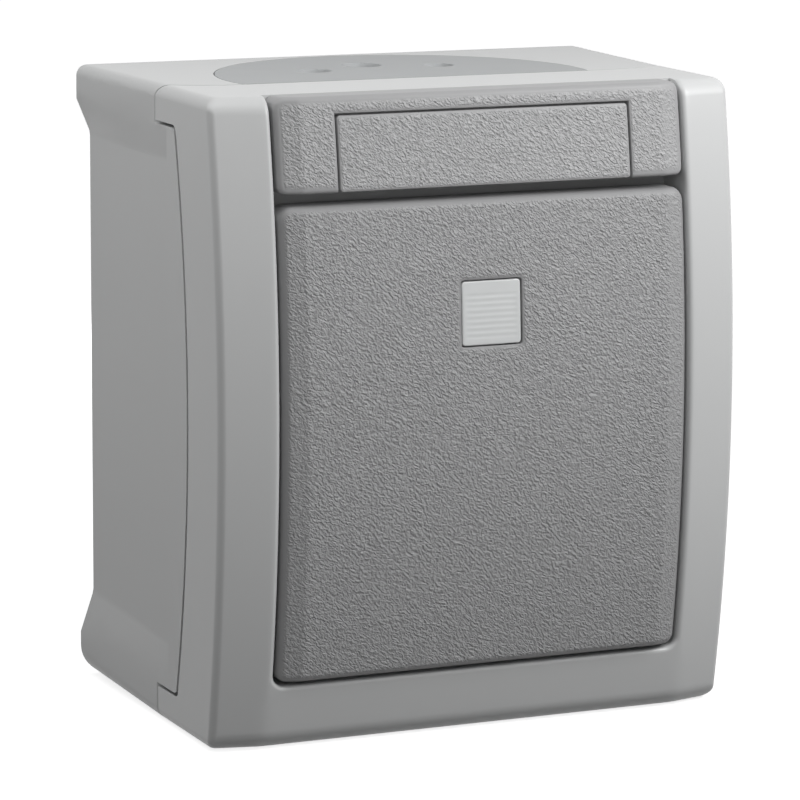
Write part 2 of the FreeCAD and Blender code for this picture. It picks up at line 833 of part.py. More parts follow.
def lever_bracket():
    floor = base_back_depth + base_floor
    inner_x = terminal_x - terminal_half
    strip = block(-inner_x, bracket_out, -bracket_half_z, bracket_half_z, floor,
                  floor + bracket_thick)
    parts = [strip]
    for side in (-1, 1):
        x = sorted((side * bracket_in, side * bracket_out))
        parts.append(block(x[0], x[1], -bracket_half_z, bracket_half_z, floor, bracket_top_depth))
    hole = cross_rod(-beyond, beyond, lever_pin_depth, 0, lever_pin_r)
    return joined(parts).cut(hole)


def lever_pin():
    return cross_rod(-lever_pin_half, lever_pin_half, lever_pin_depth, 0, lever_pin_r)


def contact_lever():
    back = lever_front_depth - lever_thick
    arm = block(-lever_half, lever_half, -lever_half_z, lever_half_z, back, lever_front_depth)
    hub = cross_rod(-lever_half, lever_half, lever_pin_depth, 0, lever_hub_r)
    parts = [arm, hub]
    for side in (-1, 1):
        parts.append(rod(0, side * button_z, back - button_high, back, button_r))
    hole = cross_rod(-beyond, beyond, lever_pin_depth, 0, lever_pin_r + lever_pin_clear)
    return about_pivot(joined(parts).cut(hole), lever_pin_depth, -lever_travel / 2)


def fixed_contact(side):
    z = sorted((side * contact_low, side * contact_high))
    inner_x = terminal_x - terminal_half
    return block(-lever_half, inner_x, z[0], z[1], contact_front_depth - contact_thick,
                 contact_front_depth)


def terminal(x, z):
    clamp = block(x - terminal_half, x + terminal_half, z - terminal_half_z, z + terminal_half_z,
                  terminal_back_depth, terminal_front_depth)
    side = math.copysign(1.0, x)
    wire_x = sorted((side * wire_hole_end_x, side * beyond))
    wire = cross_rod(wire_x[0], wire_x[1], wire_hole_depth, z, wire_hole_r)
    thread = rod(x, z, terminal_screw_end - terminal_thread_spare, beyond,
                 terminal_screw_r + screw_clear)
    return clamp.cut([wire, thread])


def terminal_screws():
    seat = terminal_front_depth + terminal_head_lift
    screws = []
    for x, z in terminal_places().values():
        screws.append(slotted_screw(x, z, seat, terminal_screw_r, seat - terminal_screw_end,
                                    terminal_head_r, terminal_head))
    return Part.makeCompound(screws)


def lamp_holder():
    foot = bridge_depth + bridge_thick
    return rounded_block(holder_half, holder_low_z, holder_high_z, inner_corner_r,
                         inner_corner_r, foot, holder_depth)


def indicator_lamp():
    stem = rod(0, lens_z, holder_depth, lamp_top_depth - lamp_r, lamp_r)
    dome = Part.makeSphere(lamp_r, V(0, -(lamp_top_depth - lamp_r), lens_z))
    return joined([stem, dome])


def save(name, shape):
    shape.exportStep(os.path.join("parts", name + ".step"))


def main():
    os.makedirs("parts", exist_ok=True)
    save("rear_housing", rear_housing())
    save("cable_membrane", cable_membrane())
    save("frame_gasket", frame_gasket())
    save("front_frame", front_frame())
    save("frame_screws", frame_screws())
    save("label_carrier", label_carrier())
    save("label_plate", label_plate())
    save("wall_screw_seals", wall_screw_seals())
    save("rocker_seal", rocker_seal())
    save("mounting_bridge", mounting_bridge())
    save("bridge_screws", bridge_screws())
    save("switch_base", switch_base())
    save("lever_bracket", lever_bracket())
    save("lever_pin", lever_pin())
    save("contact_lever", contact_lever())
    save("upper_contact", fixed_contact(1))
    save("lower_contact", fixed_contact(-1))
    for name, place in terminal_places().items():
        save(name, terminal(*place))
    save("terminal_screws", terminal_screws())
    save("lamp_holder", lamp_holder())
    save("indicator_lamp", indicator_lamp())
    save("rocker_plate", rocker_plate())
    save("indicator_lens", indicator_lens())
    save("rocker_cradle", rocker_cradle())
    save("plunger", plunger())
    save("plunger_spring", plunger_spring())


main()
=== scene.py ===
import json
import math

import bmesh
import bpy
import numpy as np
from mathutils import Matrix, Vector


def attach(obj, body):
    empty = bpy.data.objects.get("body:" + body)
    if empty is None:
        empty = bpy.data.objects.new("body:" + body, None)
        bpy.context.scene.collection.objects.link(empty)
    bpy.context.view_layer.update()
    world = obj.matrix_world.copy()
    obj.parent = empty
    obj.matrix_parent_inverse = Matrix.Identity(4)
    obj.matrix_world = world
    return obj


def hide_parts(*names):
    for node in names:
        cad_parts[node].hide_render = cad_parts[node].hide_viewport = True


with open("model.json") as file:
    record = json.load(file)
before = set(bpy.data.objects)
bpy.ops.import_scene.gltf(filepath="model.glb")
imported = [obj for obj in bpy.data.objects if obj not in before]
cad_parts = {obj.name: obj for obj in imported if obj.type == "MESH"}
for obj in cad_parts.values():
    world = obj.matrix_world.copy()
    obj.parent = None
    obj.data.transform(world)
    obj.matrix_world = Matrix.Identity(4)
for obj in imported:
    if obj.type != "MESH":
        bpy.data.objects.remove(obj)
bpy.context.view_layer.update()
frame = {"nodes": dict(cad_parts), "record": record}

scene = bpy.context.scene

# All sizes are millimetres until a mesh is made. "depth" is the distance from the wall towards
# the viewer.
MM = 0.001

# Keeps a division from zero
TINY = 1e-9

# Outer form of the frame. The seam is the frame's back edge, where it meets the housing.
HALF_WIDTH = 33.0
HALF_HEIGHT = 37.9
CROWN_R = 206.4
CROWN_AXIS = 160.4
PROUD = 0.86
TOP_CORNER_R = 1.5
LOW_CORNER_R = 1.5
TOP_EDGE_R = 1.9
LOW_EDGE_R = 2.2
SIDE_EDGE_R = 0.8
BORDER_DROP = 1.5
CREST_HALF = 26.8
CREST_SOFT = 0.35
FRAME_WALL = 1.9
SKIRT_DEPTH = 24.45
SEAM_Z = 33.8
SEAM_END = 30.85
SEAM_APEX = 34.7
SEAM_R = 0.8
SEAM_TURN = (0.0, 0.05, 0.2, 0.45)
LUG_Z = 35.0
SEAM_FLAT_HALF = 23.0
SEAM_FLAT = 28.3
SEAM_BEND_HALF = 29.5
SEAM_BEND = 27.1
RIM_ROWS = 8
EDGE_ROWS = 10

# Rear corners of the housing, and the heights at which the end of its waist is lifted
REAR_HALF = 34.0
REAR_TOP_R = 2.4
REAR_TIGHT_R = 1.3
SHELL_DEPTH = 24.0
FLARE_Z = (10.0, 28.4, 33.4, 35.5)
FLARE_LIFT = (0.0, 1.3, 0.4, 0.0)

# Opening of the frame
OPENING_HALF = 26.1
OPENING_LOW = -30.2
OPENING_R = 1.4
RIM_R = 0.6
NOTCH_DEPTH = 39.6
RECESS_DEPTH = 38.6
FLOOR_BACK = 36.8
WINDOW_HALF = 8.5
WINDOW_LOW = -9.5
WINDOW_HIGH = 16.0

# Rocker
ROCKER_HALF = 25.75
ROCKER_LOW = -29.7
ROCKER_HIGH = 25.6
ROCKER_LOW_R = 1.3
ROCKER_HIGH_R = 1.7
ROCKER_EDGE_R = 0.9
ROCKER_SMOOTH = 0.5
GRAIN_RAMP = 0.15
SIDE_FAINT = 0.25
ROCKER_WALL = 2.0
ROCKER_BACK = 41.0
BEVEL_WIDTH = 2.8
BEVEL_DROP = 0.8
BEVEL_SOFT = 0.3
BEVEL_START = ROCKER_HALF - BEVEL_WIDTH

# Lens, and the corner square of the grids of lens, window and label
SMALL_SQUARE = 0.8
LENS_HALF = 3.725
LENS_Z = 12.43
LENS_GAP = 0.15
LENS_SUNK = 0.12
LENS_CORNER_R = 0.4
LENS_FLANGE = 4.6
FLANGE_GAP = 0.03
LENS_BACK = 43.2
LENS_EDGE_R = 0.15
COLLAR = 0.725
COLLAR_EDGE_R = 0.12
RIB_PITCH = 0.68
RIB_DEEP = 0.028
RIB_COUNT = 8
RIB_SHIFT = 0.35
RIB_ROWS = 10

# Cable membrane, and x, depth and radius of each of its dimples
MEMBRANE_X = -1.2
MEMBRANE_DEPTH = 23.9
MEMBRANE_R = 22.55
MEMBRANE_CUT = 3.95
MEMBRANE_FLANGE = 1.6
PLUG_IN = 2.0
DIMPLES = ((-9.9, 16.9, 2.1), (-1.9, 12.7, 2.4), (6.8, 15.9, 1.95))
DIMPLE_DEEP = 1.5
DIMPLE_SOFT = 0.4
STRAIGHT_RAYS = 121
ROUND_RAYS = 261
MEMBRANE_RINGS = 130

# Label carrier and label
CARRIER_HALF = 25.7
CARRIER_LOW = 26.98
CARRIER_LOW_R = 1.0
CARRIER_HIGH_R = 1.3
CARRIER_EDGE_R = 0.6
CARRIER_WALL = 2.6
CARRIER_SIDE = 1.5
CARRIER_TOP_IN = 34.5
CARRIER_LIP_Z = 35.85
CARRIER_LIP_DEPTH = 39.75
CARRIER_SQUARE = 2.35
POCKET_EDGE_R = 0.12
LABEL_HALF = 18.4
LABEL_LOW = 27.1
LABEL_HIGH = 35.68
LABEL_GAP = 0.25
LABEL_THICK = 1.1
LABEL_PLAY = 0.02
LABEL_CORNER_R = 0.4
LABEL_EDGE_R = 0.15

# Studio, in metres. The lamps stand at an azimuth and an elevation in degrees, at a distance, and
# have a size and a power in watts.
FLOOR_HALF = 4.0
FLOOR_GAP = 0.0001
FLOOR_SEEN = "d0d0d0"
FLOOR_BOUNCE = "505050"
FLOOR_LIFT = 0.8
FLOOR_NEAR = 0.08
FLOOR_FAR = 0.35
WORLD_LEVEL = 0.05
LIGHT_AIM_Y = -0.03
LAMPS = (("key", 44, 36, 0.21, 0.10, 0.325), ("fill", -28, 20, 0.21, 0.10, 0.058),
         ("over", -62, 68, 0.22, 0.12, 0.09), ("left", -105, 46, 0.18, 0.09, 0.072),
         ("back", 180, 0, 0.30, 0.06, 0.26))
CAMERA_AT = (-0.20529, -0.48222, 0.08999)
CAMERA_TURN = (-23.97, 10.34, 0.32)
CAMERA_LENS = 190.28


# Shapes as functions of a grid

def place(x, z, depth):
    """Points from x to the right, z upwards and depth towards the viewer."""
    x, z, depth = np.broadcast_arrays(x, z, depth)
    return np.stack([x, -depth, z], -1).astype(float)


def crown(z, radius=CROWN_R):
    """Depth of the crowned front: a cylinder about a level axis CROWN_AXIS behind the wall."""
    return np.sqrt(radius ** 2 - z ** 2) - CROWN_AXIS


def fold(over, slope, soft):
    """Drop past a fold: a parabola from -soft to +soft about the fold, then a straight slope."""
    near = np.clip(over + soft, 0, 2 * soft)
    return slope * (near ** 2 / (4 * soft) + np.maximum(over - soft, 0))


def edge_drop(inset, radius):
    """Drop of a rounded edge, a quarter circle of the radius, at a distance in from the edge."""
    share = np.clip(1 - inset / radius, 0, 1)
    return radius * (1 - np.sqrt(1 - share ** 2))


def edge_steps(radius, count=8):
    """Distances in from an edge at equal turns of its quarter circle."""
    return radius * (1 - np.cos(np.linspace(0, math.pi / 2, count + 1)))


def rocker_front(x, z):
    """Front of rocker and carrier: the crown a little proud, and a slope back at each side."""
    slope = BEVEL_DROP / BEVEL_WIDTH
    return crown(z, CROWN_R + PROUD) - fold(np.abs(x) - BEVEL_START, slope, BEVEL_SOFT)


def rim_of(grid):
    """The outer line of a grid of points, once round and back to its start."""
    return np.concatenate([grid[0, :-1], grid[:-1, -1], grid[-1, :0:-1], grid[::-1, 0]])


def rounded_plan(xs, zs, half, low, high, low_r, high_r, square):
    """A straight grid whose corner squares are bent round. A line that runs at one distance inside
    the edge turns each corner on an arc about the corner's centre, or sharply when further in.
    Gives x, z and the distance in from the edge."""
    x, z = np.meshgrid(np.asarray(xs, float), np.asarray(zs, float))
    side = np.sign(x)
    a = half - np.abs(x)
    inset = np.minimum(a, np.minimum(high - z, z - low))
    for radius, b, edge, way in ((low_r, z - low, low, 1), (high_r, high - z, high, -1)):
        near = np.minimum(a, b)
        far = np.maximum(a, b)
        arc = np.maximum(radius - near, 0)
        straight = square - np.maximum(radius, near)
        run = (square - far) / np.maximum(square - near, TINY) * (straight + arc * math.pi / 4)
        turn = np.clip(run - straight, 0, None) / np.maximum(arc, TINY) * (arc > 0)
        bent_near = np.where(turn > 0, radius - arc * np.cos(turn), near)
        bent_far = np.where(turn > 0, radius - arc * np.sin(turn), square - run)
        corner = (a < square) & (b < square)
        across = np.where(a <= b, bent_near, bent_far)
        along = np.where(a <= b, bent_far, bent_near)
        x = np.where(corner, side * (half - across), x)
        z = np.where(corner, edge + way * along, z)
    return x, z, inset


def welded(sheets):
    """Joins grids of points into one set of polygons. Corners on one place become one vertex, and
    a quad that has shrunk to a triangle or a line loses the corners it has too many of."""
    points, marks, quads = [], [], []
    start = 0
    for grid, mark, keep in sheets:
        rows, columns = grid.shape[:2]
        index = np.arange(rows * columns).reshape(rows, columns) + start
        cells = np.stack([index[:-1, :-1], index[:-1, 1:], index[1:, 1:], index[1:, :-1]], -1)
        quads.append(cells[keep] if keep is not None else cells.reshape(-1, 4))
        points.append(grid.reshape(-1, 3))
        marks.append(np.broadcast_to(mark, (rows, columns)).reshape(-1))
        start += rows * columns
    points = np.concatenate(points)
    marks = np.concatenate(marks)
    quads = np.concatenate(quads)
    keys = np.round(points * 1e4).astype(np.int64)
    _, first, inverse = np.unique(keys, axis=0, return_index=True, return_inverse=True)
    quads = inverse.reshape(-1)[quads]
    after = np.roll(quads, -1, axis=1)
    repeats = quads == after
    crossed = (quads[:, 0] == quads[:, 2]) | (quads[:, 1] == quads[:, 3])
    whole = quads[(repeats.sum(1) == 0) & ~crossed]
    short = (repeats.sum(1) == 1) & ~crossed
    kept = np.argsort(repeats[short], axis=1, kind="stable")[:, :3]
    thirds = np.take_along_axis(quads[short], np.sort(kept, axis=1), axis=1)
    return points[first], marks[first], whole.tolist() + thirds.tolist()


# A grid with its mark and the cells it keeps. A mark of 0, the default, is smooth skin, which a
# grained material paints darkest as painted shade.
def sheet(grid, mark=0.0, keep=None):
    return grid, mark, keep


def rings(*lines):
    """A sheet through lines of points with the same number of points."""
    return sheet(np.stack(lines))


def make_piece(name, points, polygons, material, body, nodes, smooth=34.0, marks=None):
    """A piece in place: its mesh in metres, its faces outwards, smooth up to an angle."""
    mesh = bpy.data.meshes.new(name)
    mesh.from_pydata((points * MM).tolist(), [], polygons)
    if marks is not None:
        # The grain attribute sets the grain, and on grained materials also painted shade: where it
        # is 0 the colour is darkest.
        mesh.attributes.new("grain", "FLOAT", "POINT").data.foreach_set("value", marks)
    work = bmesh.new()
    work.from_mesh(mesh)
    bmesh.ops.recalc_face_normals(work, faces=work.faces)
    work.to_mesh(mesh)
    work.free()
    mesh.shade_smooth()
    mesh.set_sharp_from_angle(angle=math.radians(smooth))
    mesh.materials.append(material)
    piece = bpy.data.objects.new(name, mesh)
    scene.collection.objects.link(piece)
    normals = piece.modifiers.new("even_shading", "WEIGHTED_NORMAL")
    normals.keep_sharp = True
    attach(piece, body)
    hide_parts(*nodes)
    return piece


def node_points(node):
    """Corners and triangles of a node's mesh, in millimetres, with equal corners made one."""
    mesh = frame["nodes"][node].data
    mesh.calc_loop_triangles()
    flat = np.zeros(len(mesh.vertices) * 3)
    mesh.vertices.foreach_get("co", flat)
    corners = np.zeros(len(mesh.loop_triangles) * 3, np.int32)
    mesh.loop_triangles.foreach_get("vertices", corners)
    points = flat.reshape(-1, 3) / MM
    keys = np.round(points * 1e3).astype(np.int64)
    _, first, inverse = np.unique(keys, axis=0, return_index=True, return_inverse=True)
    triangles = inverse.reshape(-1)[corners.reshape(-1, 3)]
    real = (triangles != np.roll(triangles, 1, axis=1)).all(1)
    return points[first], triangles[real].tolist()


# Materials

def linear(colour):
    """Linear colour from a hex value such as c9caca."""
    parts = np.array([int(colour[i:i + 2], 16) for i in (0, 2, 4)]) / 255
    parts = np.where(parts <= 0.04045, parts / 12.92, ((parts + 0.055) / 1.055) ** 2.4)
    return (*parts.tolist(), 1.0)


def add(tree, kind, inputs=None, **settings):
    """Adds one node, with its settings, and its sockets filled or linked."""
    made = tree.nodes.new("ShaderNode" + kind)
    for name, value in settings.items():
        setattr(made, name, value)
    for socket, value in (inputs or {}).items():
        if isinstance(value, bpy.types.NodeSocket):
            tree.links.new(value, made.inputs[socket])
        else:
            made.inputs[socket].default_value = value
    return made


def new_material(name):
    material = bpy.data.materials.new(name)
    material.use_nodes = True
    material.node_tree.nodes.clear()
    return material, material.node_tree


def finish_material(tree, shader):
    add(tree, "OutputMaterial", {"Surface": shader.outputs[0]})


def moulded_abs(name, colour, dark_share=0.97, roughness=0.42, pit=0.16, deep=0.004):
    """ABS from a spark-eroded mould: a fine even matt skin that spreads the highlights, and a
    faint cloudiness from the flow of the melt. The pits are drawn about twice their real size."""
    material, tree = new_material(name)
    place_at = add(tree, "TexCoord").outputs["Object"]
    pits = add(tree, "TexNoise", {"Vector": place_at, "Scale": 1 / (pit * MM), "Detail": 2.0,
                                  "Roughness": 0.6})
    cloud = add(tree, "TexNoise", {"Vector": place_at, "Scale": 1 / (14.0 * MM), "Detail": 3.0})
    pale = linear(colour)
    dull = (*[part * dark_share for part in pale[:3]], 1.0)
    tint = add(tree, "Mix", {0: cloud.outputs["Fac"], 6: dull, 7: pale}, data_type="RGBA")
    gloss = add(tree, "MapRange", {"Value": pits.outputs["Fac"], "To Min": roughness - 0.04,
                                   "To Max": roughness + 0.06})
    bump = add(tree, "Bump", {"Strength": 1.0, "Distance": deep * MM,
                              "Height": pits.outputs["Fac"]})
    shader = add(tree, "BsdfPrincipled", {"Base Color": tint.outputs[2], "IOR": 1.52,
                                          "Roughness": gloss.outputs[0],
                                          "Normal": bump.outputs[0]})
    finish_material(tree, shader)
    return material


def grained_asa(name, colour, wrinkle=0.26, length=0.42, deep=0.15, roughness=0.46):
    """ASA from a mould etched with a leather grain: wavy wrinkles that run down to the right and
    catch the light on one flank. Where the grain attribute is 0 the skin is smooth. The colour
    holds painted shade: darker in the troughs of the wrinkles, and darkest on the smooth skin,
    such as the rounded edges and the walls of the gaps."""
    material, tree = new_material(name)
    coords = add(tree, "TexCoord").outputs["Object"]
    turned = add(tree, "Mapping", {"Vector": coords, "Rotation": (0, math.radians(-38), 0)},
                 vector_type="POINT")
    stretched = add(tree, "Mapping", {"Vector": turned.outputs[0],
                                      "Scale": (1 / (length * MM), 1 / (length * MM),
                                                1 / (wrinkle * MM))})
    wrinkles = add(tree, "TexNoise", {"Vector": stretched.outputs[0], "Scale": 1.0, "Detail": 0.6,
                                      "Roughness": 0.5, "Distortion": 0.7})
    crests = add(tree, "MapRange", {"Value": wrinkles.outputs["Fac"], "From Min": 0.25,
                                    "From Max": 0.75})
    pits = add(tree, "TexNoise", {"Vector": coords, "Scale": 1 / (0.13 * MM), "Detail": 1.0})
    mask = add(tree, "Attribute", attribute_name="grain", attribute_type="GEOMETRY")
    height = add(tree, "Math", {0: crests.outputs[0], 1: mask.outputs["Fac"]},
                 operation="MULTIPLY")
    coarse = add(tree, "Bump", {"Strength": 1.0, "Distance": deep * MM,
                                "Height": height.outputs[0]})
    fine = add(tree, "Bump", {"Strength": 1.0, "Distance": 0.004 * MM,
                              "Height": pits.outputs["Fac"], "Normal": coarse.outputs[0]})
    base = linear(colour)
    # Painted shade: the colour falls to three quarters in the troughs of the grain and where the
    # grain mark is 0, on the smooth edges and the walls of the gaps
    low = (*[part * 0.75 for part in base[:3]], 1.0)
    tint = add(tree, "Mix", {0: height.outputs[0], 6: low, 7: base}, data_type="RGBA")
    shader = add(tree, "BsdfPrincipled", {"Base Color": tint.outputs[2], "IOR": 1.5,
                                          "Roughness": roughness, "Normal": fine.outputs[0]})
    finish_material(tree, shader)
    return material


def milky_polycarbonate(name, colour):
    """Polycarbonate with white pigment: light goes in a little way, and the skin is smooth."""
    material, tree = new_material(name)
    coords = add(tree, "TexCoord").outputs["Object"]
    haze = add(tree, "TexNoise", {"Vector": coords, "Scale": 1 / (3.0 * MM), "Detail": 2.0})
    base = linear(colour)
    deep = (*[part * 0.95 for part in base[:3]], 1.0)
    tint = add(tree, "Mix", {0: haze.outputs["Fac"], 6: deep, 7: base}, data_type="RGBA")
    shader = add(tree, "BsdfPrincipled", {"Base Color": tint.outputs[2], "IOR": 1.58,
                                          "Roughness": 0.3, "Subsurface Weight": 0.35,
                                          "Subsurface Radius": (1.0, 1.0, 1.0),
                                          "Subsurface Scale": 0.9 * MM})
    finish_material(tree, shader)
    return material


def moulded_rubber(name, colour, roughness=0.62):
    """Moulded elastomer: a soft dull skin with a fine powdery bloom."""
    material, tree = new_material(name)
    coords = add(tree, "TexCoord").outputs["Object"]
    bloom = add(tree, "TexNoise", {"Vector": coords, "Scale": 1 / (6.0 * MM), "Detail": 4.0})
    pits = add(tree, "TexNoise", {"Vector": coords, "Scale": 1 / (0.2 * MM), "Detail": 2.0})
    base = linear(colour)
    dull = (*[part * 0.94 for part in base[:3]], 1.0)
    tint = add(tree, "Mix", {0: bloom.outputs["Fac"], 6: dull, 7: base}, data_type="RGBA")
    bump = add(tree, "Bump", {"Strength": 1.0, "Distance": 0.006 * MM,
                              "Height": pits.outputs["Fac"]})
    shader = add(tree, "BsdfPrincipled", {"Base Color": tint.outputs[2], "IOR": 1.5,
                                          "Roughness": roughness, "Normal": bump.outputs[0]})
    finish_material(tree, shader)
    return material


def worked_metal(name, colour, roughness, streak_x, streak_z):
    """Drawn or plated metal: short streaks from the tool, and a roughness that wanders."""
    material, tree = new_material(name)
    coords = add(tree, "TexCoord").outputs["Object"]
    drawn = add(tree, "Mapping", {"Vector": coords, "Scale": (1 / (streak_x * MM),
                                                              1 / (streak_x * MM),
                                                              1 / (streak_z * MM))})
    streaks = add(tree, "TexNoise", {"Vector": drawn.outputs[0], "Scale": 1.0, "Detail": 3.0})
    gloss = add(tree, "MapRange", {"Value": streaks.outputs["Fac"], "To Min": roughness - 0.08,
                                   "To Max": roughness + 0.1})
    bump = add(tree, "Bump", {"Strength": 1.0, "Distance": 0.003 * MM,
                              "Height": streaks.outputs["Fac"]})
    shader = add(tree, "BsdfPrincipled", {"Base Color": linear(colour), "Metallic": 1.0,
                                          "Roughness": gloss.outputs[0],
                                          "Normal": bump.outputs[0]})
    finish_material(tree, shader)
    return material


FINISHES = {
    "housing_plastic": moulded_abs("light_grey_abs_housing", "cecfcf"),
    "frame_plastic": moulded_abs("light_grey_abs_frame", "d0d1d1", roughness=0.37),
    "rocker_plastic": grained_asa("grained_asa_rocker", "adadae"),
    "carrier_plastic": grained_asa("grained_asa_carrier", "b8b8b9"),
    "label_plastic": grained_asa("grained_asa_label", "b8b8b9"),
    "lens_plastic": milky_polycarbonate("milky_polycarbonate", "e6e8e8"),
    "membrane_rubber": moulded_rubber("grey_tpe_membrane", "b0b2b3"),
    "gasket_rubber": moulded_rubber("black_epdm_gasket", "1e1f20"),
    "seal_rubber": moulded_rubber("black_epdm_seal", "222324"),
    "washer_rubber": moulded_rubber("black_epdm_washer", "242526"),
    "base_plastic": moulded_abs("urea_resin_base", "e2e0d8", roughness=0.35),
    "cradle_plastic": moulded_abs("dark_polyamide_cradle", "35363a", roughness=0.5),
    "holder_plastic": moulded_abs("dark_polyamide_holder", "303134", roughness=0.5),
    "lamp_body": milky_polycarbonate("clear_white_lamp", "f0f0e8"),
    "plunger_plastic": moulded_abs("white_acetal", "eeede8", roughness=0.3),
    "screw_steel": worked_metal("zinc_plated_steel_screws", "c9cbcd", 0.32, 0.4, 0.4),
    "bridge_steel": worked_metal("zinc_plated_steel_sheet", "c4c7ca", 0.36, 2.5, 0.3),
    "spring_steel": worked_metal("bright_spring_wire", "bcbdc0", 0.25, 0.5, 0.5),
    "pin_steel": worked_metal("ground_steel_pin", "c0c2c4", 0.22, 3.0, 0.2),
    "contact_brass": worked_metal("rolled_brass_contacts", "d8b566", 0.28, 2.0, 0.3),
    "terminal_brass": worked_metal("cut_brass_terminals", "d2ac5c", 0.33, 0.3, 2.0),
}


# Frame

def seam_back(z):
    """Depth of the frame's back edge on the side walls: a circle through both ends and the apex
    of the seam, turning down into the lugs on a small arc."""
    rise = SEAM_APEX - SEAM_END
    radius = (SEAM_Z ** 2 + rise ** 2) / (2 * rise)
    level = np.abs(z)
    arc = SEAM_APEX - radius + np.sqrt(radius ** 2 - np.minimum(level, SEAM_Z) ** 2)
    past = np.clip(level - (SEAM_Z - SEAM_R), 0, SEAM_R)
    return arc - SEAM_R + np.sqrt(SEAM_R ** 2 - past ** 2)


def corner_seam(x):
    """Depth of the frame's back edge on the top and bottom walls: level in the middle, then an arc
    through three points that runs back to the lug at the corner."""
    near, middle, far = ((SEAM_FLAT_HALF, SEAM_FLAT), (SEAM_BEND_HALF, SEAM_BEND),
                         (HALF_WIDTH, SKIRT_DEPTH))
    rows = np.array([[2 * (middle[0] - near[0]), 2 * (middle[1] - near[1])],
                     [2 * (far[0] - near[0]), 2 * (far[1] - near[1])]])
    sums = np.array([math.hypot(*middle) ** 2, math.hypot(*far) ** 2]) - math.hypot(*near) ** 2
    centre = np.linalg.solve(rows, sums)
    radius = math.hypot(near[0] - centre[0], near[1] - centre[1])
    across = np.clip(np.abs(x), SEAM_FLAT_HALF, HALF_WIDTH) - centre[0]
    return centre[1] + np.sqrt(radius ** 2 - across ** 2)


def border_drop(x):
    """Setback of the border, which slopes from a soft crest to the outer edge."""
    slope = BORDER_DROP / (HALF_WIDTH - CREST_HALF)
    return fold(np.abs(x) - CREST_HALF, slope, CREST_SOFT)


